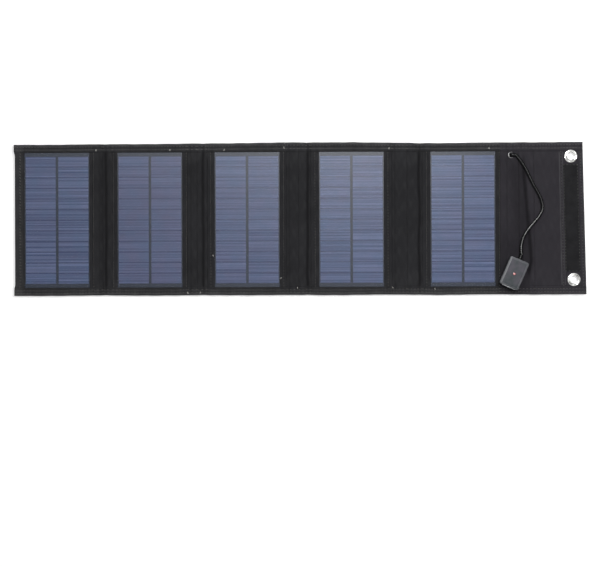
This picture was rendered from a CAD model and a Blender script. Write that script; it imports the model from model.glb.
"""Looks of a folding solar charger: woven cover, five modules, flap, eyelets, lead and USB box."""

import math
import random

import bmesh
import bpy
import numpy as np
from mathutils import Matrix, Vector


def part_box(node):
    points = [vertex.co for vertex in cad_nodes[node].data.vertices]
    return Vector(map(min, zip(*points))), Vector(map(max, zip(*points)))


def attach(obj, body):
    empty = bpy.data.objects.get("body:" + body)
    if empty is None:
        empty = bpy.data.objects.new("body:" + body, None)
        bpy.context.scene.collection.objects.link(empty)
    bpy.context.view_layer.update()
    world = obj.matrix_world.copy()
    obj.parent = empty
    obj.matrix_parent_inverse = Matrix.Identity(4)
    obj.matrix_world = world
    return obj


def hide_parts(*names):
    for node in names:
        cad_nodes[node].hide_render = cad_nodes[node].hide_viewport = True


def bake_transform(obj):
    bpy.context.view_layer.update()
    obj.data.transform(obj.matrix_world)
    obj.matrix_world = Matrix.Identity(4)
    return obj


MM = 0.001
PANELS = range(1, 6)

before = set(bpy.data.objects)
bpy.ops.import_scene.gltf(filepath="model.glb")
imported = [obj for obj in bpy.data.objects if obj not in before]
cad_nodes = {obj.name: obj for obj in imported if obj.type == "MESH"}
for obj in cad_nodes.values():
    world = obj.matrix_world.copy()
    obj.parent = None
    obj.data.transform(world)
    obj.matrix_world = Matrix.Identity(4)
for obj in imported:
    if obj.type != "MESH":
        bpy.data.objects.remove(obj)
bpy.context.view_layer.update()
scene = bpy.context.scene


# ---------------------------------------------------------------- places, in millimetres


def node_box(name):
    """Lowest and highest corner of a CAD node, in millimetres."""
    low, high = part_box(name)
    return low / MM, high / MM


CREASE_GAP = 0.15  # from a crease to the solids beside it
TRAY_WALL = 0.75  # the pad's fabric tray and its clearance

front_z = node_box("front_cover_1")[1].z
flange_z = node_box("flap_back")[0].z
half_h = node_box("front_cover_1")[1].y
start_x = node_box("front_cover_1")[0].x
end_x = node_box("flap_front")[1].x
left_creases = [node_box(f"fold_fabric_{k}")[0].x - CREASE_GAP for k in PANELS]
right_creases = [node_box(f"fold_fabric_{k}")[1].x + CREASE_GAP for k in PANELS]
windows = [node_box(f"cover_film_{k}") for k in PANELS]
WINDOW_GAP = 0.15  # from the film to the window's edge
ring_low, ring_high = node_box("lead_ring")
exit_x, exit_y = (ring_low.x + ring_high.x) / 2, (ring_low.y + ring_high.y) / 2

# The lead's centre line, counted from the exit on the front face, as in the part's source
LEAD_ROUTE = [
    (2.6, 0, 1.9), (4.6, -0.3, 1.9), (7.2, -2.9, 1.9), (10.2, -7, 1.9), (14.3, -13.6, 1.9),
    (18.3, -21.8, 1.9), (22.4, -30.4, 1.9), (27.1, -38.6, 1.9), (30.6, -47, 1.9),
    (31.4, -54, 1.9), (28.3, -61.3, 1.9), (22.2, -68.8, 1.9), (16.9, -75.2, 1.9),
    (12.9, -81.6, 1.9), (10.5, -88.2, 2), (9.6, -94.8, 2.7), (10, -100.8, 3.4),
]
LEAD_D = 3.2
LEAD_AXIS_Z = 1.9
ELBOW_R = 1.95


# ---------------------------------------------------------------- camera


def add_camera():
    """A long lens straight above the middle of the table."""
    lens, sensor, view_w = 135, 36, 606
    data = bpy.data.cameras.new("camera")
    data.lens, data.sensor_width = lens, sensor
    camera = put("camera", data)
    camera.location = Vector((0.2, -65, front_z + view_w * lens / sensor)) * MM
    camera.rotation_euler = (0, 0, math.radians(-0.2))
    scene.camera = camera


# ---------------------------------------------------------------- meshes


def put(name, data):
    """A new object in the scene."""
    piece = bpy.data.objects.new(name, data)
    scene.collection.objects.link(piece)
    return piece


def add_mesh(name, points, faces, material=None, smooth=True):
    """A mesh object from points in millimetres."""
    mesh = bpy.data.meshes.new(name)
    mesh.from_pydata([tuple(c * MM for c in p) for p in points], [], faces)
    mesh.validate()
    mesh.polygons.foreach_set("use_smooth", [smooth] * len(mesh.polygons))
    piece = put(name, mesh)
    if material:
        mesh.materials.append(material)
    return piece


def spread(low, high, step, *extra):
    """Even lines from low to high, with extra ones where the shape needs them."""
    count = max(1, round((high - low) / step))
    lines = [low + (high - low) * i / count for i in range(count + 1)]
    for value in extra:
        if low < value < high:
            lines.append(value)
    lines.sort()
    kept = [lines[0]]
    for value in lines[1:]:
        if value - kept[-1] > 0.12:
            kept.append(value)
    kept[-1] = high
    return kept


def lathe(name, profile, centre, material, sides=64):
    """A closed ring turned round Z from a closed profile of (radius, height) pairs."""
    points, faces = [], []
    rows = len(profile)
    for i in range(sides):
        angle = 2 * math.pi * i / sides
        for r, z in profile:
            points.append((
                centre[0] + r * math.cos(angle), centre[1] + r * math.sin(angle), centre[2] + z
            ))
    for i in range(sides):
        j = (i + 1) % sides
        for a in range(rows):
            b = (a + 1) % rows
            faces.append((i * rows + a, j * rows + a, j * rows + b, i * rows + b))
    return add_mesh(name, points, faces, material)


def tube_faces(rings, sides):
    """Faces of a closed tube of so many rings of points, with its two ends."""
    faces = []
    for start in range(0, (rings - 1) * sides, sides):
        for a in range(sides):
            b = (a + 1) % sides
            faces.append((start + a, start + b, start + sides + b, start + sides + a))
    faces.append(tuple(range(sides - 1, -1, -1)))
    faces.append(tuple(range((rings - 1) * sides, rings * sides)))
    return faces


def store(piece, name, values):
    """Keeps a value for each point of a piece, for its finish to read."""
    layer = piece.data.attributes.new(name, "FLOAT", "POINT")
    layer.data.foreach_set("value", values)


def shaped_mesh(piece):
    """The mesh that a piece's modifiers make of it."""
    bpy.context.view_layer.update()
    shape = piece.evaluated_get(bpy.context.evaluated_depsgraph_get())
    return bpy.data.meshes.new_from_object(shape)


def declare(piece, bodies, nodes):
    """Gives a piece its body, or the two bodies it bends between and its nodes."""
    if len(bodies) == 1:
        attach(piece, bodies[0])
    else:
        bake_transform(piece)
    if nodes:
        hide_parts(*nodes)


def arc(cx, cz, r, start, stop, steps):
    """Points on an arc, angles in degrees."""
    angles = [math.radians(start + (stop - start) * i / steps) for i in range(steps + 1)]
    return [(cx + r * math.cos(a), cz + r * math.sin(a)) for a in angles]


# ---------------------------------------------------------------- relief of the cloth

HEM_W = 8.4  # width of the turned hem along both long edges
HEM_RISE = 0.3
HEM_SEAMS = (2.8, 5.8)  # seams in a hem, counted from the edge
HEM_SEAM_DEPTHS = (0.1, 0.2)
LIP_W = 1.3  # turned edge of the cloth round a window
LIP_RISE = 0.2
SEAM_OFFSET = 4.0  # from a window to the seam beside it
SEAM_DEPTH = 0.14
CORNER_R = 6.0  # corner of a module's tray
TRAY_SLOPE = 4.5
EDGE_ZONE = 12  # how far in from a long edge the cloth is pulled out of line
FLAP_LEAN = 0.0235  # the flap's end moves this far for each millimetre down
CLOSING_LEAN = 0.078  # the same for the crease beside the flap
EDGE_ROUND = 0.7  # over which a cut edge of the cloth is rounded
EDGE_LINES = (0.2, 0.45, 0.7)  # grid lines that follow that rounding


def smooth_step(value):
    value = np.clip(value, 0, 1)
    return value * value * (3 - 2 * value)


def ripple(x, y, size, seed):
    """Soft random waves between about -1 and 1, as wide as size."""
    draw = random.Random(seed)
    total = np.zeros_like(x)
    for _ in range(6):
        turn = draw.uniform(0, 2 * math.pi)
        wave = 2 * math.pi / (size * draw.uniform(0.7, 1.7))
        phase = draw.uniform(0, 2 * math.pi)
        total += np.sin(wave * (x * math.cos(turn) + y * math.sin(turn)) + phase)
    return total / 3.5


def dent(distance, width):
    return np.exp(-((distance / width) ** 2))


def from_sides(x, y, low, high):
    """How far inside a box's sides a point lies."""
    return np.minimum(np.minimum(x - low.x, high.x - x), np.minimum(y - low.y, high.y - y))


def flap_seams():
    """The edges of the flap's turned seam beside the hook strip, and the seam of its end hem."""
    hook_low, hook_high = node_box("hook_strip")
    return (hook_low.x - 3.4, hook_low.x - 0.3), (hook_high.x + end_x) / 2


def closing_crease_x(y):
    """The crease beside the flap runs askew and turns back near the lower hem."""
    return right_creases[4] - 3.6 - CLOSING_LEAN * y - 4.0 * smooth_step((-40 - y) / 18)


# How far the upper hem stands out or in along the row: (x, rise)
UPPER_HEM = (
    (-290, -0.7), (-200, -0.6), (-150, -0.25), (-80, 0.0), (-45, 0.5), (0, 0.8),
    (50, 1.0), (80, 0.2), (130, 0.0), (195, 0.0), (225, 0.4), (290, 0.5),
)


def outline(x, y):
    """Where a point of the flat cloth really lies: wavy hems, and ends that lean."""
    edge = smooth_step((np.abs(y) - (half_h - EDGE_ZONE)) / EDGE_ZONE)
    y = y + np.where(y > 0, edge, 0) * np.interp(x, *zip(*UPPER_HEM))
    y = y + edge * (0.25 * ripple(x, 0 * x, 60, 3) + 0.15 * ripple(x, 0 * x, 14, 4))
    for crease in right_creases[:4]:
        y = y - edge * np.sign(y) * 0.25 * dent(x - crease, 3.6)
    flap = smooth_step((x - left_creases[4]) / (end_x - left_creases[4]))
    x = x + flap * (0.35 - FLAP_LEAN * y)
    near_start = np.clip(1 - (x - start_x) / 10, 0, 1)
    corner = smooth_step((np.abs(y) - (half_h - EDGE_ZONE)) / 5)
    x = x - near_start * corner * np.where(y > 0, 1.1, 0.9)
    return x, y


def from_outer_crease(x, y, crease):
    """Distance from the outer crease of a fold, which wanders a little."""
    return x - crease - 0.5 * ripple(0 * x, y, 50, crease)


def slack_below_exit(x, y):
    """How far the cloth sinks along a line below the lead's exit, from 0 to 1."""
    along = smooth_step((exit_y - 4 - y) / 8) * smooth_step((y - exit_y + 34) / 20)
    return along * dent(x - exit_x - 0.1 * (exit_y - y) - 1.0, 1.6)


def cloth_front(x, y):
    """Height of the cloth's front face, in millimetres."""
    z = np.full_like(x, front_z) + 0.05 * ripple(x, y, 23, 5)
    from_edge = half_h - np.abs(y)
    hem = smooth_step((HEM_W + 0.3 - from_edge) / 0.7)
    z += HEM_RISE * hem + 0.06 * hem * ripple(x, y, 9, 6)
    for seam, depth in zip(HEM_SEAMS, HEM_SEAM_DEPTHS):
        z -= depth * dent(from_edge - seam, 0.6)
    beside = smooth_step((from_edge - HEM_W + 1.5) / 1.5)
    for low, high in windows:
        from_window = np.maximum(low.x - x, x - high.x) - WINDOW_GAP
        from_seam = from_window - SEAM_OFFSET
        z += beside * LIP_RISE * dent(from_window - 0.6 * LIP_W, 0.6 * LIP_W)
        z -= beside * SEAM_DEPTH * dent(from_seam, 0.5)
        z += beside * 0.05 * dent(from_seam, 1.8) * np.sin(2 * math.pi * y / 3.1)
    for crease in right_creases[:4]:
        off = from_outer_crease(x, y, crease)
        z -= (0.15 + 0.15 * (1 - hem)) * dent(off, 0.9)
        z += 0.14 * dent(off - 2.6, 1.4) + 0.1 * dent(off + 2.6, 1.3)
    for crease in left_creases:
        z -= 0.12 * dent(x - crease, 0.8)
    for low, high in zip(left_creases, right_creases):
        across = np.clip((x - low) / (high - low), 0, 1)
        z += 0.12 * np.sin(math.pi * across) ** 2 * (1 + 0.6 * ripple(x, y, 30, 8))
    loose = smooth_step((x - left_creases[4]) / 12) * smooth_step((from_edge - HEM_W) / 8)
    z += 0.3 * loose * ripple(x, y, 34, 9) + 0.12 * loose * ripple(2.5 * x, y, 15, 10)
    from_closing = x - closing_crease_x(y)
    z += loose * (0.35 * dent(from_closing - 3.0, 2.0) - 0.7 * dent(from_closing, 1.5))
    z -= 0.25 * slack_below_exit(x, y)
    (seam_low, seam_high), end_seam = flap_seams()
    z += 0.3 * smooth_step((x - seam_low + 0.4) / 0.8) * smooth_step((seam_high + 0.4 - x) / 0.8)
    z -= 0.15 * dent(x - (seam_low + seam_high) / 2, 0.6)
    z += 0.3 * smooth_step((x - end_seam + 2.2) / 0.8) - 0.18 * dent(x - end_seam, 0.5)
    return z


def cloth_back(x, y):
    """Height of the cloth's back face: a flat flange, with a soft tray under each module."""
    z = np.full_like(x, flange_z) + 0.04 * ripple(x, y, 19, 20)
    from_edge = half_h - np.abs(y)
    for seam in HEM_SEAMS:
        z += 0.16 * dent(from_edge - seam, 0.6)
    z += 0.12 * dent(from_edge - HEM_W - 0.3, 0.5)
    for low, high in zip(left_creases, right_creases):
        z += 0.2 * smooth_step((x - low) / 1.5) * smooth_step((high - x) / 1.5)
    for k in PANELS:
        low, high = node_box(f"pad_{k}")
        in_x = np.minimum(x - low.x, high.x - x) + TRAY_WALL
        in_y = np.minimum(y - low.y, high.y - y) + TRAY_WALL
        short_x, short_y = np.clip(CORNER_R - in_x, 0, None), np.clip(CORNER_R - in_y, 0, None)
        depth = np.where(
            (in_x < CORNER_R) & (in_y < CORNER_R),
            CORNER_R - np.hypot(short_x, short_y),
            np.minimum(in_x, in_y),
        )
        steep = np.clip(depth / TRAY_SLOPE, 0, 1)
        puckers = 0.12 * steep * (1 - steep) * 4 * ripple(x, y, 7, 21 + k)
        z = z * (1 - steep) ** 3 + puckers
    loop_low, loop_high = node_box("loop_strip")
    on_loop = from_sides(x, y, loop_low, loop_high)
    z = np.where(on_loop > -0.2, np.maximum(z, loop_high.z + 0.02), z)
    return np.clip(z, 0, None)


def crease_shade(x, y):
    """How far the dark line of a crease shows, from 0 to 1."""
    from_edge = half_h - np.abs(y)
    past_hem = 0.35 + 0.65 * smooth_step((from_edge - HEM_W + 3) / 6)
    inside = smooth_step((from_edge - EDGE_ZONE) / 14)
    from_closing = x - closing_crease_x(y)
    slack = smooth_step((x - windows[4][1].x - 2) / 3) * smooth_step(1 - from_closing)
    first_low, first_high = left_creases[0], right_creases[0]
    shades = [past_hem * dent(from_outer_crease(x, y, edge), 1.5) for edge in right_creases[:4]]
    shades += [0.3 * dent(x - crease, 0.9) for crease in left_creases]
    shades += [
        0.3 * smooth_step((x - first_low + 1) / 3) * smooth_step((first_high - x + 2) / 3),
        inside * dent(from_closing, 2.1),
        0.42 * inside * slack * smooth_step((from_closing + 20) / 12),
        0.42 * slack * smooth_step(-y / 40),
        0.5 * slack_below_exit(x, y),
        0.5 * dent(from_edge - HEM_W - 0.35, 0.35),
    ]
    return np.maximum.reduce(shades)


def hem_shade(x, y):
    """How far the paler, worn ridges of the hems show, from 0 to 1."""
    from_edge = half_h - np.abs(y)
    upper = 0.9 * dent(from_edge - 1.0, 1.3) + 0.5 * dent(from_edge - 5.8, 0.7)
    lower = 0.9 * dent(from_edge - 1.8, 0.7) + 0.6 * dent(from_edge - 4.7, 0.6)
    ridges = np.where(y > 0, upper, lower)
    flap_seam, flap_end = flap_seams()
    inner = smooth_step((from_edge - HEM_W) / 2)
    ridges += inner * (dent(x - flap_seam[0], 0.6) + dent(x - flap_seam[1], 0.5))
    ridges += inner * (dent(x - flap_end - 1.5, 0.5) + 0.8 * dent(x - flap_end + 1.2, 0.5))
    rubbed = np.clip(ridges, 0, 1) * (0.75 + 0.25 * ripple(x, y, 12, 12))
    first_strip = smooth_step((windows[0][0].x - x) / 3)
    near_hem = smooth_step((32 - from_edge) / 32)
    uneven = 0.07 * ripple(x, 0.3 * y, 5, 13)
    return np.clip(rubbed + 0.1 * near_hem + 0.22 * first_strip + uneven, 0, 1)


def grid_shell(name, x, y, top, under, material, left_open=None, joints=(False, False)):
    """A closed layer between two heights over a grid of points. It has walls round its outside
    and round each cell where left_open(x, y) is true. A wall at a joint stays sharp."""
    points = [tuple(p) for z in (top, under) for p in np.stack([x, y, z], -1).reshape(-1, 3)]
    nx, ny = x.shape
    n = nx * ny
    middle_x, middle_y = (x[:-1, :-1] + x[1:, 1:]) / 2, (y[:-1, :-1] + y[1:, 1:]) / 2
    cells = [
        (i, j) for i in range(nx - 1) for j in range(ny - 1)
        if not (left_open and left_open(middle_x[i, j], middle_y[i, j]))
    ]
    filled = set(cells)
    faces, smooth = [], []
    for i, j in cells:
        a, b = i * ny + j, (i + 1) * ny + j
        c, d = b + 1, a + 1
        faces += [(a, b, c, d), (n + d, n + c, n + b, n + a)]
        smooth += [True, True]
        neighbours = ((i, j - 1), (i + 1, j), (i, j + 1), (i - 1, j))
        for beside, (s, e) in zip(neighbours, ((a, b), (b, c), (c, d), (d, a))):
            if beside not in filled:
                faces.append((e, s, n + s, n + e))
                at_joint = (joints[0] and beside[0] < 0) or (joints[1] and beside[0] == nx - 1)
                smooth.append(not at_joint)
    piece = add_mesh(name, points, faces, material)
    piece.data.polygons.foreach_set("use_smooth", smooth)
    return piece


def cloth_shell(
    name, xs, front, back, material, is_open=None, loose_ends=(False, False), soften=(0.55, 0.35)
):
    """A closed layer of cloth over the lines xs and Y_LINES. Its long edges and loose ends are
    rounded, and it is left open where is_open(x, y) says so."""
    flat_x, flat_y = np.meshgrid(np.array(xs, float), np.array(Y_LINES, float), indexing="ij")
    x, y = outline(flat_x, flat_y)
    from_edge = half_h - np.abs(flat_y)
    if loose_ends[0]:
        from_edge = np.minimum(from_edge, flat_x - xs[0])
    if loose_ends[1]:
        from_edge = np.minimum(from_edge, xs[-1] - flat_x)
    short = 1 - np.clip(from_edge / EDGE_ROUND, 0, 1)
    rounding = 1 - np.sqrt(np.clip(1 - short**2, 0, 1))
    top = front(flat_x, flat_y) - rounding * soften[0]
    under = back(flat_x, flat_y) + rounding * soften[1]
    joints = tuple(not loose for loose in loose_ends)
    piece = grid_shell(name, x, y, top, under, material, is_open, joints)
    for attribute, shade in (("crease", crease_shade), ("worn", hem_shade)):
        store(piece, attribute, np.tile(shade(flat_x, flat_y).ravel(), 2).astype(np.float32))
    drop_loose(piece)
    return piece


def join(pieces):
    """Makes one piece of several."""
    first = pieces[0]
    with bpy.context.temp_override(active_object=first, selected_editable_objects=pieces):
        bpy.ops.object.join()
    return first


def drop_loose(piece):
    """Removes the points that no face uses."""
    work = bmesh.new()
    work.from_mesh(piece.data)
    bmesh.ops.delete(work, geom=[v for v in work.verts if not v.link_faces], context="VERTS")
    work.to_mesh(piece.data)
    work.free()


# ---------------------------------------------------------------- materials


def srgb(red, green, blue):
    """A colour as it looks on screen, 0 to 255, in linear light."""
    linear = []
    for value in (red, green, blue):
        value /= 255
        linear.append(value / 12.92 if value <= 0.04045 else ((value + 0.055) / 1.055) ** 2.4)
    return (*linear, 1)


class Nodes:
    """Adds nodes to a tree in short lines."""

    def __init__(self, tree):
        self.tree = tree

    def link(self, value, socket):
        """Gives a socket another socket's value, or a fixed one."""
        if isinstance(value, bpy.types.NodeSocket):
            self.tree.links.new(value, socket)
        else:
            socket.default_value = value

    def add(self, kind, inputs=None, **settings):
        node = self.tree.nodes.new(kind)
        for key, value in settings.items():
            setattr(node, key, value)
        for key, value in (inputs or {}).items():
            self.link(value, node.inputs[key])
        return node

    def math(self, operation, a, b):
        return self.add("ShaderNodeMath", {0: a, 1: b}, operation=operation).outputs[0]

    def vector(self, operation, a, b):
        return self.add("ShaderNodeVectorMath", {0: a, 1: b}, operation=operation).outputs[0]

    def xyz(self, x=0.0, y=0.0, z=0.0):
        return self.add("ShaderNodeCombineXYZ", {0: x, 1: y, 2: z}).outputs[0]

    def noise(self, place, scale, detail, **inputs):
        inputs = {"Vector": place, "Scale": scale, "Detail": detail, **inputs}
        return self.add("ShaderNodeTexNoise", inputs).outputs["Fac"]

    def mix(self, factor, a, b):
        inputs = {0: factor, 6: a, 7: b}
        return self.add("ShaderNodeMix", inputs, data_type="RGBA", clamp_factor=True).outputs[2]

    def ramp(self, value, low, high, to_low=0.0, to_high=1.0):
        inputs = {0: value, 1: low, 2: high, 3: to_low, 4: to_high}
        return self.add("ShaderNodeMapRange", inputs).outputs[0]

    def seen_directly(self):
        """1 for rays from the camera, off gloss and through clear things, and 0 for the others."""
        rays = self.add("ShaderNodeLightPath").outputs
        mirrored = self.math("MAXIMUM", rays["Is Glossy Ray"], rays["Is Transmission Ray"])
        return self.math("MAXIMUM", rays["Is Camera Ray"], mirrored)


def open_tree(family, name, inputs, outputs):
    """An empty node tree. Inputs hold (name, kind, default), outputs (name, kind)."""
    tree = bpy.data.node_groups.new(name, family + "NodeTree")
    for label, kind, default in inputs:
        socket = tree.interface.new_socket(
            name=label, in_out="INPUT", socket_type="NodeSocket" + kind
        )
        if default is not None:
            socket.default_value = default
    for label, kind in outputs:
        tree.interface.new_socket(name=label, in_out="OUTPUT", socket_type="NodeSocket" + kind)
    n = Nodes(tree)
    return n, n.add("NodeGroupInput").outputs, n.add("NodeGroupOutput").inputs


def new_group(name, outputs, **inputs):
    """An empty shader group of plain values."""
    inputs = [(label.replace("_", " "), "Float", value) for label, value in inputs.items()]
    n, given, out = open_tree("Shader", name, inputs, [(label, "Float") for label in outputs])
    return n, given, out, n.add("ShaderNodeTexCoord").outputs["Object"]


def weave_group():
    """Plain weave: threads of a given pitch over and under each other, a little uneven."""
    n, given, out, place = new_group(
        "plain_weave", ("Height", "Fibre"), Pitch=0.0007, Unevenness=0.6
    )
    scale = n.math("DIVIDE", 2 * math.pi / 20, given["Pitch"])
    across, along = (
        n.add("ShaderNodeTexWave", {
            "Vector": place, "Scale": scale, "Distortion": given["Unevenness"], "Detail": 1.0,
            "Detail Scale": 0.3,
        }, bands_direction=direction).outputs["Fac"]
        for direction in ("X", "Y")
    )
    over = n.math("MULTIPLY", across, along)
    under = n.math("MULTIPLY", n.math("SUBTRACT", 1.0, across), n.math("SUBTRACT", 1.0, along))
    n.link(n.math("MAXIMUM", over, under), out["Height"])
    n.link(n.noise(place, 2600.0, 2.0), out["Fibre"])
    return n.tree


def mottle_group():
    """Soft patches and finer specks over a surface."""
    n, given, out, place = new_group(
        "mottle", ("Patches", "Specks"), Patch_size=0.03, Speck_size=0.002
    )
    for label, size, detail in (("Patches", "Patch size", 3.0), ("Specks", "Speck size", 2.0)):
        scale = n.math("DIVIDE", 1.0, given[size])
        n.link(n.noise(place, scale, detail, Roughness=0.6), out[label])
    return n.tree


def streak_group():
    """Fine straight lines along X that differ in strength and from piece to piece."""
    n, given, out, place = new_group(
        "streaks", ("Lines", "Bands"), Pitch=0.0023, Length=0.02, Shift=0.0
    )
    for label, factor, seed in (("Lines", 1.0, 0.0), ("Bands", 2.7, 0.4)):
        pitch = n.math("MULTIPLY", given["Pitch"], factor)
        stretch = n.xyz(
            n.math("DIVIDE", 1.0, given["Length"]), n.math("DIVIDE", 1.0, pitch), seed
        )
        spot = n.vector("ADD", n.vector("MULTIPLY", place, stretch), n.xyz(z=given["Shift"]))
        n.link(n.noise(spot, 1.0, 1.0), out[label])
    return n.tree


class Finish:
    """A material with a Principled shader, uneven by soft patches and fine specks."""

    def __init__(self, name, patch_size, speck_size, **shader):
        self.material = bpy.data.materials.new(name)
        self.material.use_nodes = True
        self.n = Nodes(self.material.node_tree)
        self.shader = self.material.node_tree.nodes["Principled BSDF"]
        for key, value in shader.items():
            self.shader.inputs[key.replace("_", " ")].default_value = value
        self.mottle = self.group(MOTTLE, Patch_size=patch_size, Speck_size=speck_size)

    def group(self, tree, **values):
        node = self.n.add("ShaderNodeGroup", node_tree=tree)
        for key, value in values.items():
            self.n.link(value, node.inputs[key.replace("_", " ")])
        return node.outputs

    def attribute(self, name, factor):
        value = self.n.add("ShaderNodeAttribute", attribute_name=name).outputs["Fac"]
        return self.n.math("MULTIPLY", value, factor)

    def patches(self, low, high, least=0.0, most=1.0):
        return self.n.ramp(self.mottle["Patches"], low, high, least, most)

    def specks(self, least, most, low=0.3, high=0.7):
        return self.n.ramp(self.mottle["Specks"], low, high, least, most)

    def set(self, **links):
        for key, value in links.items():
            self.n.tree.links.new(value, self.shader.inputs[key.replace("_", " ")])

    def bump(self, height, distance, strength=1.0, under=None):
        inputs = {"Height": height, "Distance": distance, "Strength": strength}
        if under:
            inputs["Normal"] = under
        return self.n.add("ShaderNodeBump", inputs).outputs["Normal"]

    def speckle(self, least, most, depth, strength):
        """Roughness between two values and a fine relief, both from the specks."""
        relief = self.bump(self.mottle["Specks"], depth, strength)
        self.set(Roughness=self.specks(least, most), Normal=relief)


WEAVE, MOTTLE, STREAKS = weave_group(), mottle_group(), streak_group()


def cloth_finish(name, base, lit, worn, dark, pitch, patch=0.3):
    """Coated oxford cloth: weave, uneven dye, worn ridges and dark creases."""
    f = Finish(
        name, 0.045, 0.0016, Roughness=0.8, Specular_IOR_Level=0.04, Sheen_Weight=0.02,
        Sheen_Roughness=0.5
    )
    weave = f.group(WEAVE, Pitch=pitch)
    colour = f.n.mix(f.patches(0.3, 0.7, 0.0, patch), base, lit)
    colour = f.n.mix(f.n.ramp(weave["Height"], 0.0, 0.9, 0.0, 0.25), colour, lit)
    colour = f.n.mix(f.attribute("worn", 0.75), colour, worn)
    colour = f.n.mix(f.attribute("crease", 0.8), colour, dark)
    folds = f.bump(weave["Height"], 0.00012, 0.7)
    relief = f.bump(weave["Fibre"], 0.00003, 0.6, folds)
    f.set(Base_Color=colour, Roughness=f.specks(0.7, 0.9), Normal=relief)
    return f.material


def cell_finish():
    """Polycrystalline cells: blue-grey, each its own tone, with fine printed lines."""
    f = Finish(
        "blue_cells", 0.016, 0.003, Roughness=0.5, Specular_IOR_Level=0.02, Coat_Weight=0.07,
        Coat_Roughness=0.25, Coat_IOR=1.5
    )
    streaks = f.group(STREAKS, Pitch=0.0016, Length=0.4, Shift=f.attribute("tone", 40.0))
    deep, pale, violet = srgb(51, 65, 100), srgb(95, 107, 141), srgb(76, 77, 107)
    colour = f.n.mix(f.n.ramp(streaks["Lines"], 0.36, 0.64), deep, pale)
    colour = f.n.mix(f.attribute("tone", 0.4), colour, violet)
    colour = f.n.mix(f.n.ramp(streaks["Bands"], 0.45, 0.7, 0.0, 0.4), colour, violet)
    colour = f.n.mix(f.patches(0.4, 0.7, 0.0, 0.45), colour, srgb(60, 86, 118))
    relief = f.bump(streaks["Lines"], 0.00002, 0.5)
    f.set(Base_Color=colour, Roughness=f.specks(0.4, 0.6), Normal=relief)
    return f.material


def board_finish():
    """Dark laminate with pale specks."""
    f = Finish(
        "module_board", 0.02, 0.0012, Roughness=0.5, Specular_IOR_Level=0.02, Coat_Weight=0.04,
        Coat_Roughness=0.25
    )
    colour = f.n.mix(f.patches(0.3, 0.7), srgb(14, 24, 38), srgb(25, 34, 49))
    colour = f.n.mix(f.specks(0.0, 0.2, 0.55, 0.75), colour, srgb(70, 72, 76))
    f.set(Base_Color=colour, Normal=f.bump(f.mottle["Specks"], 0.00003, 0.4))
    return f.material


def film_finish():
    """Clear laminate, seen only as a faint haze and gloss."""
    f = Finish("clear_film", 0.03, 0.0008, Roughness=0.25, Specular_IOR_Level=0.5, Alpha=0.035)
    f.set(Base_Color=f.n.mix(f.mottle["Patches"], srgb(150, 160, 185), srgb(176, 182, 196)))
    f.speckle(0.2, 0.32, 0.00001, 0.5)
    return f.material


def metal_finish(name, bright, dull, roughness):
    """Plated metal with dull patches, tarnished in its grooves."""
    f = Finish(name, 0.004, 0.0004, Metallic=1.0, Roughness=roughness)
    tarnish = f.attribute("groove", f.patches(0.4, 0.6, 0.25, 1.0))
    colour = f.n.mix(f.patches(0.35, 0.7), bright, dull)
    f.set(Base_Color=f.n.mix(tarnish, colour, srgb(52, 52, 50)))
    f.speckle(roughness - 0.06, roughness + 0.12, 0.00001, 0.3)
    return f.material


def plastic_finish(name, base, worn, roughness, grain=0.00035, gloss=0.4, coat=0.0, relief=0.5):
    """Moulded plastic or rubber with a fine grain and worn patches."""
    f = Finish(
        name, 0.012, grain, Roughness=roughness, Specular_IOR_Level=gloss, Coat_Weight=coat,
        Coat_Roughness=0.25
    )
    f.set(Base_Color=f.n.mix(f.patches(0.35, 0.7, 0.0, 0.6), base, worn))
    f.speckle(roughness - 0.06, roughness + 0.08, 0.00002, relief)
    return f.material


def box_finish(base, worn, rubbed):
    """The box's satin plastic, paler along its bevelled edges."""
    f = Finish("box_plastic", 0.01, 0.0004, Roughness=0.4, Specular_IOR_Level=0.1)
    colour = f.n.mix(f.patches(0.35, 0.65), base, worn)
    edge = f.attribute("rubbed", f.patches(0.2, 0.6, 0.5, 1.0))
    f.set(Base_Color=f.n.mix(edge, colour, rubbed))
    f.speckle(0.34, 0.5, 0.00002, 0.6)
    return f.material


def tape_finish(name, base, lit, pitch, depth):
    """Napped tape of a hook or loop fastener."""
    f = Finish(name, 0.012, 0.0007, Roughness=0.85, Specular_IOR_Level=0.05, Sheen_Weight=0.06)
    weave = f.group(WEAVE, Pitch=pitch, Unevenness=1.2)
    colour = f.n.mix(f.patches(0.3, 0.7, 0.0, 0.7), base, lit)
    colour = f.n.mix(f.n.ramp(weave["Height"], 0.1, 0.9, 0.0, 0.35), colour, lit)
    under = f.bump(weave["Height"], depth, 0.8)
    f.set(Base_Color=colour, Normal=f.bump(f.mottle["Specks"], 0.0001, 0.6, under))
    return f.material


cover_cloth = cloth_finish(
    "cover_cloth", srgb(28, 28, 30), srgb(51, 51, 54), srgb(87, 87, 88), srgb(10, 10, 12), 0.0007
)
flap_cloth = cloth_finish(
    "flap_cloth", srgb(38, 36, 41), srgb(59, 57, 61), srgb(78, 77, 80), srgb(10, 9, 12), 0.0007
)
thread_lit, pale_lit = srgb(104, 103, 99), srgb(226, 224, 218)
thread = cloth_finish(
    "seam_thread", srgb(68, 68, 67), thread_lit, thread_lit, srgb(48, 48, 48), 0.0003, 0.9
)
pale_thread = cloth_finish(
    "pale_thread", srgb(196, 194, 188), pale_lit, pale_lit, srgb(120, 118, 114), 0.0003
)
blue_cells = cell_finish()
board = board_finish()
film = film_finish()
finger_print = plastic_finish(
    "silver_print", srgb(100, 110, 142), srgb(86, 98, 130), 0.5, 0.004, 0.02, 0.07
)
joint_blue = plastic_finish(
    "cell_joints", srgb(31, 42, 78), srgb(41, 51, 88), 0.5, 0.004, 0.02, 0.07
)
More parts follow.
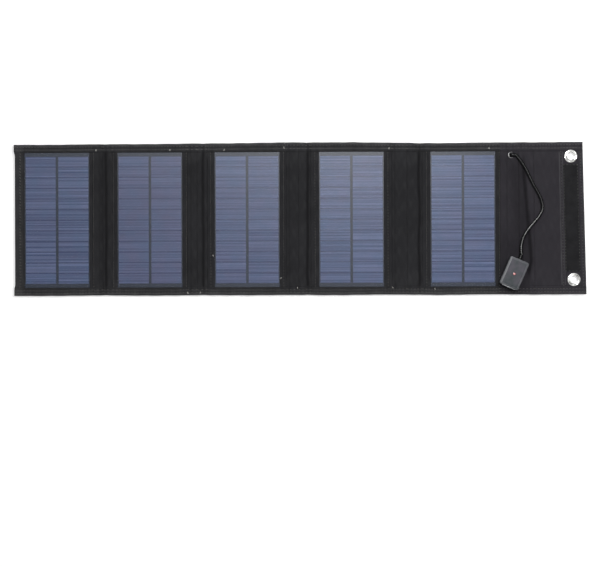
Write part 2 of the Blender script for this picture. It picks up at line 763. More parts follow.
nickel = metal_finish("nickel_plate", srgb(214, 214, 212), srgb(138, 138, 136), 0.12)
dull_nickel = metal_finish("dull_nickel", srgb(150, 150, 150), srgb(84, 84, 86), 0.35)
socket_steel = metal_finish("socket_steel", srgb(112, 112, 114), srgb(74, 76, 78), 0.45)
tinned_copper = metal_finish("tinned_copper", srgb(190, 172, 150), srgb(168, 140, 116), 0.35)
rubber = plastic_finish(
    "lead_rubber", srgb(2, 2, 3), srgb(6, 6, 7), 0.27, 0.0003, 0.13, relief=0.03
)
box_plastic = box_finish(srgb(38, 46, 49), srgb(62, 60, 69), srgb(110, 111, 114))
socket_plastic = plastic_finish("socket_plastic", srgb(28, 28, 30), srgb(40, 40, 42), 0.5)
circuit_green = plastic_finish("circuit_board", srgb(30, 84, 52), srgb(44, 104, 66), 0.4)
foam = plastic_finish("foam_board", srgb(60, 60, 62), srgb(80, 80, 82), 0.9, 0.0012, 0.1)
lamp_red = plastic_finish(
    "lamp_lens", srgb(158, 82, 82), srgb(192, 118, 116), 0.3, 0.0008, 0.4, 0.4
)
hook_tape = tape_finish("hook_tape", srgb(24, 24, 26), srgb(42, 42, 44), 0.0011, 0.0003)
loop_tape = tape_finish("loop_tape", srgb(30, 30, 32), srgb(50, 50, 52), 0.0016, 0.0004)


# ---------------------------------------------------------------- lead


def smooth_curve(name, points, radius, material):
    """A round cord through points in millimetres."""
    data = bpy.data.curves.new(name, "CURVE")
    data.dimensions = "3D"
    data.bevel_depth, data.bevel_resolution, data.resolution_u = radius * MM, 10, 16
    data.use_fill_caps = True
    line = data.splines.new("BEZIER")
    line.bezier_points.add(len(points) - 1)
    for knot, place in zip(line.bezier_points, points):
        knot.co = [c * MM for c in place]
        knot.handle_left_type = knot.handle_right_type = "AUTO"
    data.materials.append(material)
    return put(name, data)


def swept(name, path, radii, material, sides=24):
    """A closed round tube along a path, with a radius at each point."""
    path = [Vector(p) for p in path]
    points, side = [], None
    for i, place in enumerate(path):
        along = (path[min(i + 1, len(path) - 1)] - path[max(i - 1, 0)]).normalized()
        if side is None:
            side = along.orthogonal().normalized()
        side = (side - side.dot(along) * along).normalized()
        across = along.cross(side)
        for a in range(sides):
            angle = 2 * math.pi * a / sides
            points.append(place + radii[i] * (math.cos(angle) * side + math.sin(angle) * across))
    return add_mesh(name, points, tube_faces(len(path), sides), material)


def at_exit(x, y, z):
    """A point counted from the lead's exit on the front face."""
    return exit_x + x, exit_y + y, front_z + z


def make_lead():
    lead = smooth_curve("lead", [at_exit(*p) for p in LEAD_ROUTE], LEAD_D / 2, rubber)
    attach(lead, "lead")
    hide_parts("lead_cord")
    return lead


def make_elbow():
    """The moulded elbow that turns the lead into the cover, and the ring round it."""
    turn = [
        (1.25 * math.sin(math.radians(a)) ** 1.5, 0, LEAD_AXIS_Z - 1.25 * math.cos(math.radians(a)))
        for a in range(0, 91, 10)
    ]
    straight = [(x, 0, LEAD_AXIS_Z) for x in (1.6, 2.1, 2.3)]
    path = [(0, 0, -0.35), (0, 0, 0.2)] + turn + straight
    radii = [ELBOW_R] * (len(path) - 1) + [ELBOW_R - 0.25]
    elbow = swept("lead_elbow_piece", [at_exit(*p) for p in path], radii, rubber)
    declare(elbow, ("fold_5",), ("lead_elbow",))
    profile = [(3.18, -0.35)] + arc(2.8, 0.05, 0.38, 0, 180, 10) + [(2.42, -0.35)]
    ring = lathe("lead_exit_ring", profile, at_exit(0, 0, 0), dull_nickel, sides=48)
    for vertex in ring.data.vertices:  # it lies askew, but sinks little into the cloth
        lifted = vertex.co.z - 0.3 * (vertex.co.x - exit_x * MM)
        vertex.co.z = max(lifted, (front_z - 0.6) * MM + 0.2 * (vertex.co.z - front_z * MM))
    declare(ring, ("fold_5",), ("lead_ring",))


# ---------------------------------------------------------------- cloth

REACH = 3.0  # how far a bending strip reaches past its crease, at least
STRIP_W = 10.2  # the narrowest strip
BEND = 2.4  # half the width in which a fold's cloth turns
LAST_REACH = 7.2  # how far the last fold's left strip reaches past its crease
LAST_BEND = (-7.0, 0.6)  # where that strip bends, counted from the crease
FIRST_SEAM = 4.9  # from the free end of the first cover to its seam
PLY = 0.4
GRID_STEP = 1.35
EYELET_HOLE = 5.0  # radius of the hole that the cloth leaves for an eyelet

layer_z = node_box("front_cover_1")[0].z  # where a cover's front layer meets its back layer


def strip_edges(k):
    """Where the two strips of a fold begin, meet and end."""
    low, high = left_creases[k - 1], right_creases[k - 1]
    reach = max(REACH, STRIP_W - (high - low) / 2)
    return low - (reach if k < 5 else LAST_REACH), (low + high) / 2, high + reach


def cover_edges(k):
    """Where a panel's cover begins and ends between its strips."""
    left = start_x if k == 1 else strip_edges(k - 1)[2]
    return left, strip_edges(k)[0]


def window_seams(left, right):
    """The seams beside the windows that lie between two X values."""
    off = SEAM_OFFSET + WINDOW_GAP
    places = [x for low, high in windows for x in (low.x - off, high.x + off)]
    low, high = windows[0]
    return [along_y(low.y + 1, high.y - 1, x) for x in places if left < x < right]


def y_lines():
    """Grid lines of all cloth: closer at its edges, hem seams and window edges."""
    steps = EDGE_LINES + (2.2, 2.8, 3.4, 5.2, 5.8, 6.4, 8.1, 8.7)
    edges = [s * (half_h - d) for s in (-1, 1) for d in steps]
    top, bottom = windows[0][1].y + WINDOW_GAP, windows[0][0].y - WINDOW_GAP
    edges += [top, top + 0.35, bottom, bottom - 0.35]
    return spread(-half_h, half_h, GRID_STEP, *edges)


Y_LINES = y_lines()


def make_cover(k):
    """A panel's cover: front layer with its window, back layer with the soft tray for the pad."""
    low, high = windows[k - 1]
    left, right = cover_edges(k)
    x0, x1 = low.x - WINDOW_GAP, high.x + WINDOW_GAP
    y0, y1 = low.y - WINDOW_GAP, high.y + WINDOW_GAP
    extra = [x0, low.x - 0.5, x1, high.x + 0.5]
    extra += [x for d in (3.6, 4.15, 4.7) for x in (low.x - d, high.x + d)]
    if k == 1:
        extra += [left + d for d in EDGE_LINES + (4.3, FIRST_SEAM, 5.5)]
    xs = spread(left, right, GRID_STEP, *extra)

    def in_window(x, y):
        return x0 < x < x1 and y0 < y < y1

    def front_under(x, y):
        return np.full_like(x, layer_z + 0.01)

    def back_top(x, y):
        return np.minimum(cloth_back(x, y) + PLY, layer_z - 0.01)

    loose = (k == 1, False)
    front_layer = cloth_shell(
        f"cover_{k}", xs, cloth_front, front_under, cover_cloth, in_window, loose, (0.45, 0.0)
    )
    back_layer = cloth_shell(
        f"tray_{k}", xs, back_top, cloth_back, cover_cloth, None, loose, (0.0, 0.35)
    )
    return join([front_layer, back_layer])


def make_creases(k):
    """The two strips of a fold, each bending about its crease."""
    left, middle, right = strip_edges(k)
    creases = (left_creases[k - 1], right_creases[k - 1])
    near = [crease + d for crease in creases for d in (-1.2, -0.6, 0, 0.6, 1.2)]
    cloth = flap_cloth if k == 5 else cover_cloth
    return [
        cloth_shell(f"fold_{k}_{side}", spread(x0, x1, 0.9, *near), cloth_front, cloth_back, cloth)
        for side, x0, x1 in (("left", left, middle), ("right", middle, right))
    ]


def near_eyelet(x, y):
    return any(math.hypot(x - ex, y - ey) < EYELET_HOLE for ex, ey in eyelets)


def make_flap():
    """The soft closing flap, open where its eyelets go through."""
    seam, end = flap_seams()
    extra = [end_x - d for d in EDGE_LINES] + [s + d for s in seam for d in (-0.6, 0, 0.6)]
    extra += [end + d for d in (-2.4, -0.6, 0, 0.6)]
    xs = spread(strip_edges(5)[2], end_x, 1.1, *extra)
    return cloth_shell(
        "flap", xs, cloth_front, cloth_back, flap_cloth, near_eyelet, (False, True)
    )


# ---------------------------------------------------------------- geometry node trees


def new_tree(name, **sizes):
    """An empty geometry tree. Its inputs are sizes in metres or shares, a seed and a finish."""
    inputs = [(label.replace("_", " "), "Float", value) for label, value in sizes.items()]
    inputs = [("Geometry", "Geometry", None), *inputs, ("Seed", "Int", 1)]
    inputs.append(("Finish", "Material", None))
    return open_tree("Geometry", name, inputs, [("Geometry", "Geometry")])


def end_tree(n, given, out, geometry, soft=False):
    """Ends a tree: makes real meshes of its instances and gives them their finish."""
    geometry = n.add("GeometryNodeRealizeInstances", {"Geometry": geometry}).outputs["Geometry"]
    if soft:
        geometry = n.add("GeometryNodeSetShadeSmooth", {"Geometry": geometry}).outputs["Geometry"]
    inputs = {"Geometry": geometry, "Material": given["Finish"]}
    n.link(n.add("GeometryNodeSetMaterial", inputs).outputs["Geometry"], out["Geometry"])
    return n.tree


def stitch_tree():
    """Short rounded stitches at even steps along the lines of a mesh."""
    n, given, out = new_tree("stitches", Pitch=0.003, Length=0.0021, Width=0.00045)
    curve = n.add("GeometryNodeMeshToCurve", {"Mesh": given["Geometry"]}).outputs["Curve"]
    steps = n.add(
        "GeometryNodeResampleCurve", {"Curve": curve, "Length": given["Pitch"]}, mode="LENGTH"
    )
    tangent = n.add("GeometryNodeInputTangent").outputs["Tangent"]
    turn = n.add("FunctionNodeAlignRotationToVector", {"Vector": tangent}, axis="X")
    uneven = n.add("FunctionNodeRandomValue", {
        "Min": (0.85, 0.85, 0.85), "Max": (1.1, 1.15, 1.15), "Seed": given["Seed"],
    }, data_type="FLOAT_VECTOR").outputs["Value"]
    ball = n.add("GeometryNodeMeshUVSphere", {"Segments": 6, "Rings": 5, "Radius": 0.5})
    size = n.xyz(given["Length"], given["Width"], given["Width"])
    placed = n.add("GeometryNodeInstanceOnPoints", {
        "Points": steps.outputs["Curve"], "Instance": ball.outputs["Mesh"],
        "Rotation": turn.outputs["Rotation"], "Scale": n.vector("MULTIPLY", size, uneven),
    })
    return end_tree(n, given, out, placed.outputs["Instances"], soft=True)


def plate_tree():
    """A thin plate at each point of a mesh, each with a tone of its own."""
    n, given, out = new_tree(
        "plates", Width=0.03, Height=0.01, Thickness=0.0002, Least_tone=0.0, Most_tone=1.0
    )
    size = n.xyz(given["Width"], given["Height"], given["Thickness"])
    plate = n.add("GeometryNodeMeshCube", {"Size": size}).outputs["Mesh"]
    placed = n.add("GeometryNodeInstanceOnPoints", {"Points": given["Geometry"], "Instance": plate})
    tone = n.add("FunctionNodeRandomValue", {
        2: given["Least tone"], 3: given["Most tone"], "Seed": given["Seed"],
    }).outputs[1]
    named = n.add("GeometryNodeStoreNamedAttribute", {
        "Geometry": placed.outputs["Instances"], "Name": "tone", "Value": tone,
    }, domain="INSTANCE", data_type="FLOAT")
    return end_tree(n, given, out, named.outputs["Geometry"])


def hook_tree():
    """Small bent hooks standing on the points of a mesh."""
    n, given, out = new_tree("hooks", Height=0.0007)
    bend = n.add("GeometryNodeCurvePrimitiveBezierSegment", {
        "Resolution": 3, "Start": (0, 0, 0), "Start Handle": (0, 0, 1.2),
        "End Handle": (0.75, 0, 1.25), "End": (0.6, 0, 0.55),
    })
    wire = n.add(
        "GeometryNodeCurvePrimitiveCircle", {"Resolution": 4, "Radius": 0.16}, mode="RADIUS"
    )
    hook = n.add("GeometryNodeCurveToMesh", {
        "Curve": bend.outputs["Curve"], "Profile Curve": wire.outputs["Curve"], "Fill Caps": True,
    })
    turn = n.add("FunctionNodeRandomValue", {
        "Min": (-0.15, -0.15, -0.6), "Max": (0.15, 0.15, 0.6), "Seed": given["Seed"],
    }, data_type="FLOAT_VECTOR")
    placed = n.add("GeometryNodeInstanceOnPoints", {
        "Points": given["Geometry"], "Instance": hook.outputs["Mesh"],
        "Rotation": turn.outputs["Value"], "Scale": given["Height"],
    })
    return end_tree(n, given, out, placed.outputs["Instances"])


def grow(name, points, edges, tree, **values):
    """Runs a geometry tree on points and edges, in millimetres, and keeps the mesh it makes."""
    start = bpy.data.meshes.new(name + "_start")
    start.from_pydata([tuple(c * MM for c in p) for p in points], edges, [])
    carrier = put(name + "_start", start)
    modifier = carrier.modifiers.new("tree", "NODES")
    modifier.node_group = tree
    for item in tree.interface.items_tree:
        key = item.name.replace(" ", "_")
        if item.in_out == "INPUT" and key in values:
            modifier[item.identifier] = values[key]
    mesh = shaped_mesh(carrier)
    bpy.data.objects.remove(carrier)
    bpy.data.meshes.remove(start)
    return put(name, mesh)


STITCHES, PLATES, HOOKS = stitch_tree(), plate_tree(), hook_tree()
STITCH_LIFT = 0.06  # how far the middle of a stitch lies off the cloth


def sew(name, lines, seed, both_sides=True, **sizes):
    """Stitches along lines of flat (x, y) points, on the cloth's front and, unless told not,
    on its back."""
    points, edges = [], []
    for line in lines:
        flat_x, flat_y = (np.array(values, float) for values in zip(*line))
        x, y = outline(flat_x, flat_y)
        heights = [cloth_front(flat_x, flat_y) + STITCH_LIFT]
        if both_sides:
            heights.append(cloth_back(flat_x, flat_y) - STITCH_LIFT)
        for z in heights:
            start = len(points)
            points += zip(x, y, z)
            edges += [(i, i + 1) for i in range(start, len(points) - 1)]
    return grow(name, points, edges, STITCHES, Seed=seed, Finish=thread, **sizes)


def along_x(x0, x1, y):
    """A line of flat points along the row of panels."""
    return [(x, y) for x in spread(x0, x1, 3.0)]


def along_y(y0, y1, x):
    """A line of flat points across the row of panels."""
    return [(x, y) for y in spread(y0, y1, 3.0)]


def hem_lines(x0, x1):
    """The seams of both long hems between two X values."""
    return [
        along_x(x0 + 0.7, x1 - 0.7, s * (half_h - d)) for s in (-1, 1) for d in HEM_SEAMS
    ]


# ---------------------------------------------------------------- modules

CELL_COLUMNS, CELL_ROWS = 2, 12
COLUMN_GAP, ROW_GAP = 2.6, 0.8
FINGERS = 4
VIOLET = (0.0, 1.2, 0.3, 0.0, 0.0)  # how much more violet each module is


def make_module(k):
    """Two columns of cells with their printed lines, on the CAD's board and under its film."""
    low, high = node_box(f"solar_cells_{k}")
    cell_w = (high.x - low.x - COLUMN_GAP) / 2
    cell_h = (high.y - low.y + ROW_GAP) / CELL_ROWS - ROW_GAP
    thick = high.z - low.z
    xs = [low.x + cell_w / 2 + c * (cell_w + COLUMN_GAP) for c in range(CELL_COLUMNS)]
    ys = [low.y + cell_h / 2 + r * (cell_h + ROW_GAP) for r in range(CELL_ROWS)]
    z = (low.z + high.z) / 2
    cells = grow(
        f"cells_{k}", [(x, y, z) for x in xs for y in ys], [], PLATES, Width=cell_w * MM,
        Height=cell_h * MM, Thickness=thick * MM, Least_tone=VIOLET[k - 1],
        Most_tone=VIOLET[k - 1] + 0.8, Seed=k, Finish=blue_cells
    )
    places = [
        (x, y + cell_h * ((i + 0.5) / FINGERS - 0.5), high.z + 0.015)
        for x in xs for y in ys for i in range(FINGERS)
    ]
    fingers = grow(
        f"fingers_{k}", places, [], PLATES, Width=(cell_w - 0.8) * MM, Height=0.2 * MM,
        Thickness=0.05 * MM, Seed=k, Finish=finger_print
    )
    places = [(x, y + (cell_h + ROW_GAP) / 2, z) for x in xs for y in ys[:-1]]
    joints = grow(
        f"cell_joints_{k}", places, [], PLATES, Width=(cell_w - 0.3) * MM, Height=ROW_GAP * MM,
        Thickness=(thick - 0.04) * MM, Seed=k, Finish=joint_blue
    )
    for piece, nodes in ((cells, (f"solar_cells_{k}",)), (fingers, ()), (joints, ())):
        declare(piece, (f"panel_{k}",), nodes)


# ---------------------------------------------------------------- eyelets, strips and threads

eyelet_low, eyelet_high = node_box("eyelet_faces")
EYELET_R = 6.8
EYELET_BORE = 3.75
eyelets = [
    (eyelet_low.x + EYELET_R, eyelet_high.y - EYELET_R),
    (eyelet_high.x - EYELET_R, eyelet_low.y + EYELET_R),
]


def make_eyelets():
    """Domed faces with their barrels rolled over the washers at the back."""
    top, back = eyelet_high.z, eyelet_low.z
    bore, rim, crown = EYELET_BORE, EYELET_R, EYELET_BORE + 1.5
    face = [
        (bore, back + 0.5), (bore, top - 0.45), (bore + 0.12, top - 0.18),
        (bore + 0.4, top - 0.04), (bore + 0.7, top + 0.03), (crown - 0.45, top),
        (crown - 0.25, top - 0.12), (crown, top - 0.2), (crown + 0.25, top - 0.14),
        (crown + 0.6, top - 0.12), (crown + 0.95, top - 0.24),
        (rim - 0.35, front_z + 0.45 * (top - front_z)), (rim - 0.05, front_z + 0.14),
        (rim, front_z - 0.1), (rim - 0.35, front_z - 0.1), (rim - 0.7, front_z + 0.1),
        (bore + 0.45, front_z + 0.1), (bore + 0.42, back + 0.55), (bore + 1.2, back + 0.4),
        (bore + 1.3, back + 0.2), (bore + 0.9, back), (bore + 0.4, back + 0.08),
    ]
    face.reverse()
    washer_low, washer_high = node_box("eyelet_backs")
    low, high, rim = washer_low.z, washer_high.z, EYELET_R - 0.3
    washer = [
        (bore + 0.47, low + 0.08), (bore + 1.6, low - 0.1), (rim - 0.5, low + 0.1),
        (rim, low + 0.4), (rim, high + 0.1), (rim - 0.4, high + 0.1), (rim - 0.8, low + 0.55),
        (bore + 0.47, low + 0.55),
    ]
    for name, profile, node in (
        ("eyelet_rims", face, "eyelet_faces"), ("eyelet_washers", washer, "eyelet_backs")
    ):
        piece = join([
            lathe(f"{name}_{i}", profile, (x, y, 0), nickel) for i, (x, y) in enumerate(eyelets)
        ])
        piece.name = name
        grooves = []
        for vertex in piece.data.vertices:
            px, py, pz = vertex.co / MM
            r = min(math.hypot(px - x, py - y) for x, y in eyelets)
            grooves.append(float(dent(r - crown, 0.35)) if pz > front_z + 0.2 else 0.0)
        store(piece, "groove", grooves)
        declare(piece, ("flap",), (node,))


def sewn_strip(name, low, high, material):
    """A thin strip with rounded edges, laid along the leaning cloth."""
    xs, ys = (
        spread(a, b, 1.3, a + 0.2, a + 0.5, b - 0.2, b - 0.5)
        for a, b in ((low.x, high.x), (low.y, high.y))
    )
    x, y = np.meshgrid(np.array(xs), np.array(ys), indexing="ij")
    lift = np.clip(from_sides(x, y, low, high) / 0.5, 0, 1) ** 0.5
    rough = 0.06 * ripple(x, y, 3, 31) + 0.05 * ripple(x, y, 11, 32)
    bottom = cloth_front(x, y) - 0.1
    top = bottom + 0.25 + (high.z - low.z - 0.3 + rough) * lift
    return grid_shell(name, *outline(x, y), top, bottom, material)


def make_hook_strip():
    """The hook side of the fastener: a sewn base with a field of small hooks."""
    low, high = node_box("hook_strip")
    high = Vector((high.x, high.y, high.z - 0.25))
    base = sewn_strip("hook_base", low, high, hook_tape)
    draw = random.Random(5)
    places = []
    for x in spread(low.x + 1.6, high.x - 1.6, 1.0):
        for y in spread(low.y + 1.2, high.y - 1.2, 1.0):
            fx, fy = (np.array([v + draw.uniform(-0.15, 0.15)]) for v in (x, y))
            z = cloth_front(fx, fy) + high.z - low.z - 0.25
            fx, fy = outline(fx, fy)
            places.append((fx[0], fy[0], z[0]))
    hooks = grow("hook_field", places, [], HOOKS, Height=0.55 * MM, Seed=3, Finish=hook_tape)
    lines = [along_y(low.y + 0.8, high.y - 0.8, x) for x in (low.x + 0.8, high.x - 0.8)]
    lines += [along_x(low.x + 0.8, high.x - 0.8, y) for y in (low.y + 0.7, high.y - 0.7)]
    seams = sew("hook_seams", lines, 41, False, Length=1.9 * MM, Width=0.4 * MM)
    seams.data.transform(Matrix.Translation((0, 0, 0.45 * MM)))
    for piece in (base, hooks, seams):
        declare(piece, ("flap",), ("hook_strip",))


def make_loose_threads():
    """Pale ends of thread that stand out of the seams."""
    knots = {
        "panel_1": [(-205.3, 70.2)], "panel_2": [(-130.6, 70.2), (-113, -74.0)],
        "panel_3": [(-76, 70.2), (-15.5, 72.2), (-87.7, -36.4), (-19, -59.6)],
        "panel_4": [(90.6, 71.2), (93.6, -69.2)], "panel_5": [(136.6, -70.7), (191.6, 71.2)],
        "fold_2": [(-100.6, -74.0)], "fold_3": [(-2.3, -69.2)],
    }
    for body, places in knots.items():
        draw = random.Random(body)
        threads = []
        for i, (x, y) in enumerate(places):
            turn = draw.uniform(0, math.pi)
            path = []
            for j in range(7):
                t = j / 6 - 0.5
                bend = 0.5 * math.sin(5 * t + turn)
                px = x + 1.5 * t * math.cos(turn) - bend * math.sin(turn)
                py = y + 1.5 * t * math.sin(turn) + bend * math.cos(turn)
                z = float(cloth_front(np.array([px]), np.array([py]))[0])
                path.append((px, py, z + 0.1 + 0.25 * math.cos(math.pi * t)))
            radii = [0.22] * len(path)
            threads.append(swept(f"thread_end_{body}_{i}", path, radii, pale_thread, sides=8))
        piece = join(threads) if len(threads) > 1 else threads[0]
        declare(piece, (body,), ())


# ---------------------------------------------------------------- USB box

lid_top = node_box("usb_box_lid")[1].z
lamp_low, lamp_high = node_box("usb_lamp")
BOX_W, BOX_L, BASE_H, LID_H, BOX_WALL = 20.0, 29.5, 6.0, 5.0, 1.2
BOX_R = 1.5  # corner of the box seen from above
LID_BEVEL = 0.9
BOX_COS, BOX_SIN = math.cos(math.radians(-23.6)), math.sin(math.radians(-23.6))
BOX_AT = at_exit(7.8, -105.9, 0.4)
SOCKET_W, SOCKET_H = 13.3, 5.9
PORT_GAP = 0.15
LENS_R = 1.3
BOOT = (  # (distance from the box, radius)
    (-1.1, 2.2), (0, 2.2), (0.9, 2.2), (1.1, 1.95), (1.5, 1.95), (1.7, 2.15), (2.5, 2.1),
    (2.7, 1.9), (3.1, 1.9), (3.3, 2.05), (4.1, 2.0), (4.6, 1.8), (5.0, 1.65),
)
socket_z = node_box("usb_socket")[0].z - BOX_AT[2]


def on_box(x, y, z):
    """A point of the box's own frame: x across, y towards the lead, z up."""
    dx, dy = BOX_COS * x - BOX_SIN * y, BOX_SIN * x + BOX_COS * y
    return BOX_AT[0] + dx, BOX_AT[1] + dy, BOX_AT[2] + z


def in_box(x, y):
    """A point of the scene seen in the box's own frame, without its height."""
    dx, dy = x - BOX_AT[0], y - BOX_AT[1]
    return BOX_COS * dx + BOX_SIN * dy, BOX_COS * dy - BOX_SIN * dx


def rounded_loop(inset, z):
    """The box's rounded rectangle at a height, drawn in by an inset."""
    w, l, r = BOX_W / 2 - inset, BOX_L / 2 - inset, max(BOX_R - 0.4 * inset, 0.6)
    loop = []
    for i, (sx, sy) in enumerate(((1, 1), (-1, 1), (-1, -1), (1, -1))):
        quarter = arc(sx * (w - r), sy * (l - r), r, 90 * i, 90 * i + 90, 6)
        loop += [(px, py - BOX_L / 2, z) for px, py in quarter]
    return loop


def box_shell(name, levels, cuts, material):
    """A shell of the box: rounded rings, (inset, height) from the bottom up, with openings. A
    cut is (corners, lowest, highest)."""
    points = [on_box(*p) for inset, z in levels for p in rounded_loop(inset, z)]
    faces = tube_faces(len(levels), len(points) // len(levels))
    shell = add_mesh(name, points, faces, material)
    for corners, z0, z1 in cuts:
        ring = [on_box(x, y, z) for z in (z0, z1) for x, y in corners]
        cutter = add_mesh("cut", ring, tube_faces(2, len(corners)))
        opening = shell.modifiers.new("cut", "BOOLEAN")
        opening.operation, opening.object, opening.solver = "DIFFERENCE", cutter, "EXACT"
        mesh = shaped_mesh(shell)
        shell.modifiers.clear()
        shell.data = mesh
        bpy.data.objects.remove(cutter)
    mark_edges(shell)
    with bpy.context.temp_override(
        active_object=shell, object=shell, selected_editable_objects=[shell]
    ):
        bpy.ops.object.shade_smooth_by_angle(angle=math.radians(32))
    return shell


def mark_edges(shell):
    """Stores how near each point is to the box's rubbed edges, from 0 to 1."""
    values = []
    for vertex in shell.data.vertices:
        x, y = in_box(vertex.co.x / MM, vertex.co.y / MM)
        height = vertex.co.z / MM - BOX_AT[2]
        inset = min(BOX_W / 2 - abs(x), -y, BOX_L + y)
        on_crown = height > BASE_H + LID_H - LID_BEVEL - 0.05 and inset < 2.0
        on_left = BOX_W / 2 + x < 2.0
        values.append((1.0 if on_left else 0.6) if on_crown else 0.0)
    store(shell, "rubbed", values)


def oblong(x0, x1, y0, y1):
    return [(x0, y0), (x1, y0), (x1, y1), (x0, y1)]


def make_usb_box():
    """Base and lid with their port and lamp hole, the lamp's lens and the lead's boot."""
    top = BASE_H + LID_H
    port = (
        oblong(
            -SOCKET_W / 2 - PORT_GAP, SOCKET_W / 2 + PORT_GAP,
            -BOX_L - 1, -BOX_L + BOX_WALL + 0.5
        ),
        socket_z - PORT_GAP, socket_z + SOCKET_H + PORT_GAP,
    )
    inside = oblong(
        BOX_WALL - BOX_W / 2, BOX_W / 2 - BOX_WALL, BOX_WALL - BOX_L, -BOX_WALL
    )
    foot = [
        (0.8 - 0.8 * math.sin(math.radians(a)), 0.8 - 0.8 * math.cos(math.radians(a)))
        for a in range(0, 91, 18)
    ]
    base = box_shell(
        "box_base", foot + [(0, BASE_H - 0.25), (0.1, BASE_H - 0.05), (0.3, BASE_H)],
        [(inside, BOX_WALL, BASE_H + 1), port], box_plastic
    )
    lamp_x, lamp_y = (lamp_low.x + lamp_high.x) / 2, (lamp_low.y + lamp_high.y) / 2
    hole_y = in_box(lamp_x, lamp_y)[1]
    hole = [(x, hole_y + y) for x, y in arc(0, 0, LENS_R + 0.1, 0, 360 - 11.25, 31)]
    crown = [
        (0, top - LID_BEVEL), (0.06, top - LID_BEVEL + 0.12), (0.2, top - LID_BEVEL + 0.22),
        (1.7, top - 0.14), (1.9, top - 0.04), (2.1, top), (2.5, top),
    ]
    lid = box_shell(
        "box_lid", [(0.3, BASE_H + 0.01), (0.1, BASE_H + 0.06), (0, BASE_H + 0.25)] + crown,
        [(inside, BASE_H - 1, top - BOX_WALL), port, (hole, BASE_H, top + 1)], box_plastic
    )
    dome = lid_top + 0.1
    heights = [(LENS_R, lamp_low.z), (LENS_R, lid_top - 0.1), (LENS_R - 0.03, dome)]
    heights += [
        (LENS_R * math.cos(math.radians(a)), dome + 0.4 * math.sin(math.radians(a)))
        for a in (20, 40, 60, 75, 87)
    ]
    lens = swept(
        "lamp_lens", [(lamp_x, lamp_y, z) for _, z in heights], [r for r, _ in heights],
        lamp_red, 20
    )
    boot = swept(
        "lead_boot", [on_box(0, y, 3.0) for y, _ in BOOT], [r for _, r in BOOT], rubber, 28
    )
    for piece, nodes, material_slot in (
        (base, ("usb_box_base",), "box_plastic"), (lid, ("usb_box_lid",), "box_plastic"),
        (lens, ("usb_lamp",), "lamp"), (boot, (), "lead_rubber"),
    ):
        declare(piece, ("usb_box",), nodes)
    return [base, lid, lens, boot]


# ---------------------------------------------------------------- ribbons inside the cloth

RIBBON_LANES = (48.0, 54.0)  # where the two wires run
RIBBON_W, RIBBON_T = 2.4, 0.15
RIBBON_DEPTH = 0.85  # from the front face to the wires' underside


def make_ribbon(name, x0, x1, bodies, nodes):
    """The flat wires between two modules, hidden inside the cloth. Their faces look inwards."""
    points, faces = [], []
    z0, z1 = front_z - RIBBON_DEPTH, front_z - RIBBON_DEPTH + RIBBON_T
    xs = spread(x0, x1, 1.0)
    for lane in RIBBON_LANES:
        y0, y1 = lane - RIBBON_W / 2, lane + RIBBON_W / 2
        start = len(points)
        points += [(x, y, z) for x in xs for y, z in ((y0, z0), (y0, z1), (y1, z1), (y1, z0))]
        faces += [tuple(start + a for a in face) for face in tube_faces(len(xs), 4)]
    ribbon = add_mesh(name, points, faces, tinned_copper, smooth=False)
    declare(ribbon, bodies, nodes)


# ---------------------------------------------------------------- making


def declare_lead(box_pieces):
    """Says that the lead is a free cord that ends in the box."""
    steps = zip(LEAD_ROUTE, LEAD_ROUTE[1:])
    along_lead = sum((Vector(b) - Vector(a)).length for a, b in steps)


def dress_panel(k):
    """A panel's cover with its seams, and its module."""
    body = (f"panel_{k}",)
    cover = make_cover(k)
    declare(cover, body, (f"front_cover_{k}", f"back_cover_{k}"))
    left, right = cover_edges(k)
    lines = hem_lines(left, right) + window_seams(left, right)
    if k == 1:
        lines.append(along_y(-half_h + HEM_W + 1, half_h - HEM_W - 1, start_x + FIRST_SEAM))
    declare(sew(f"seams_{k}", lines, k), body, ())
    make_module(k)


def dress_fold(k):
    """A fold's two strips with their seams, and the wires inside them."""
    after = "flap" if k == 5 else f"panel_{k + 1}"
    low, high = left_creases[k - 1], right_creases[k - 1]
    start, middle, end = strip_edges(k)
    if k < 5:
        zones = ((low - BEND, low + BEND), (high - BEND, high + BEND))
    else:
        zones = ((low + LAST_BEND[0], low + LAST_BEND[1]), (high - REACH, high + REACH))
    pairs = ((f"panel_{k}", f"fold_{k}", *zones[0]), (f"fold_{k}", after, *zones[1]))
    spans = ((start, middle), (middle, end))
    for strip, pair, (x0, x1) in zip(make_creases(k), pairs, spans):
        declare(strip, pair, (f"fold_fabric_{k}",))
        seams = sew(f"{strip.name}_seams", hem_lines(x0, x1) + window_seams(x0, x1), k + 10)
        declare(seams, pair, ())
    board_right = node_box(f"module_board_{k}")[1].x + 0.1
    if k == 5:
        wires = (f"module_wires_{k}",)
        make_ribbon(f"ribbon_{k}_left", board_right, zones[0][1], pairs[0], wires)
        return
    wires = (f"module_wires_{k}", f"link_wires_{k}")
    make_ribbon(f"ribbon_{k}_left", board_right, middle, pairs[0], wires)
    board_left = node_box(f"module_board_{k + 1}")[0].x - 0.1
    wires = (f"link_wires_{k}", f"module_wires_{k + 1}")
    make_ribbon(f"ribbon_{k}_right", middle, board_left, pairs[1], wires)


def dress_flap():
    """The flap with its seams."""
    flap = make_flap()
    declare(flap, ("flap",), ("flap_front", "flap_back"))
    left = strip_edges(5)[2]
    (seam_low, seam_high), end_seam = flap_seams()
    lines = hem_lines(left, end_x)
    for x in ((seam_low + seam_high) / 2, end_seam):
        lines.append(along_y(-half_h + HEM_W + 0.5, half_h - HEM_W - 0.5, x))
    declare(sew("flap_seams", lines, 30), ("flap",), ())


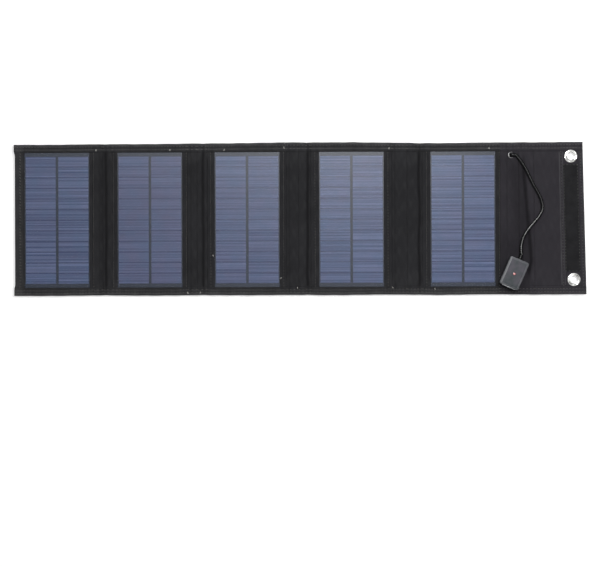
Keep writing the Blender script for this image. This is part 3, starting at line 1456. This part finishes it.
def finish_kept_nodes():
    """Finishes of the CAD nodes that stay as they are."""
    finishes = {
        "loop_strip": loop_tape, "usb_board": circuit_green, "usb_socket": socket_steel,
        "usb_tongue": socket_plastic, "link_wires_5": tinned_copper,
    }
    for k in PANELS:
        finishes.update({f"module_board_{k}": board, f"cover_film_{k}": film, f"pad_{k}": foam})
    for name, material in finishes.items():
        for holder in cad_nodes[name].material_slots:
            holder.material = material


# ---------------------------------------------------------------- table and light


TABLE_HALF, TABLE_Z = 4000, -0.02
LAMPS = (  # name, place and size in metres, power, only in the gloss
    ("key", (0.6, 0.4, 1.3), 0.35, 12.0, False),
    ("overhead", (0.15, 0.45, 2.7), 0.3, 20.0, False),
    ("side_glint", (-0.15, 0.5, 1.2), 0.35, 45.0, True),
    ("high_glint", (0.15, 0.45, 2.7), 0.3, 70.0, True),
)


def make_table():
    """A plain pale floor that looks white and keeps the object's shadow."""
    corners = ((-1, -1), (1, -1), (1, 1), (-1, 1))
    table = add_mesh(
        "table", [(TABLE_HALF * x, TABLE_HALF * y, TABLE_Z) for x, y in corners], [(0, 1, 2, 3)]
    )
    finish = bpy.data.materials.new("table_white")
    finish.use_nodes = True
    n = Nodes(finish.node_tree)
    surface = finish.node_tree.nodes["Principled BSDF"]
    surface.inputs["Base Color"].default_value = (0.72, 0.72, 0.72, 1)
    surface.inputs["Roughness"].default_value = 0.8
    surface.inputs["Specular IOR Level"].default_value = 0.1
    strength = n.math("MULTIPLY", n.seen_directly(), 0.5)
    glow = n.add("ShaderNodeEmission", {"Color": (1, 1, 1, 1), "Strength": strength})
    both = n.add("ShaderNodeAddShader", {0: surface.outputs[0], 1: glow.outputs[0]})
    n.link(both.outputs[0], finish.node_tree.nodes["Material Output"].inputs["Surface"])
    table.data.materials.append(finish)


def make_light():
    """A pale room, two lamps for the surfaces and two that show only in the gloss."""
    world = bpy.data.worlds.new("pale_room")
    world.use_nodes = True
    scene.world = world
    n = Nodes(world.node_tree)
    back = world.node_tree.nodes["Background"]
    back.inputs["Color"].default_value = (1, 1, 1, 1)
    n.link(n.ramp(n.seen_directly(), 0, 1, 0.25, 1.0), back.inputs["Strength"])
    for name, place, size, power, only_gloss in LAMPS:
        data = bpy.data.lights.new(name, "AREA")
        data.size, data.energy = size, power
        lamp = put(name, data)
        lamp.location = place
        lamp.visible_diffuse, lamp.visible_glossy = not only_gloss, only_gloss
        lamp.rotation_euler = (-Vector(place)).to_track_quat("-Z", "Y").to_euler()


# The camera and the lead come first
add_camera()
lead = make_lead()
make_elbow()
declare_lead(make_usb_box())
for k in PANELS:
    dress_panel(k)
for k in PANELS:
    dress_fold(k)
dress_flap()
make_eyelets()
make_hook_strip()
make_loose_threads()
finish_kept_nodes()
make_table()
make_light()
scene.view_settings.view_transform = "Standard"
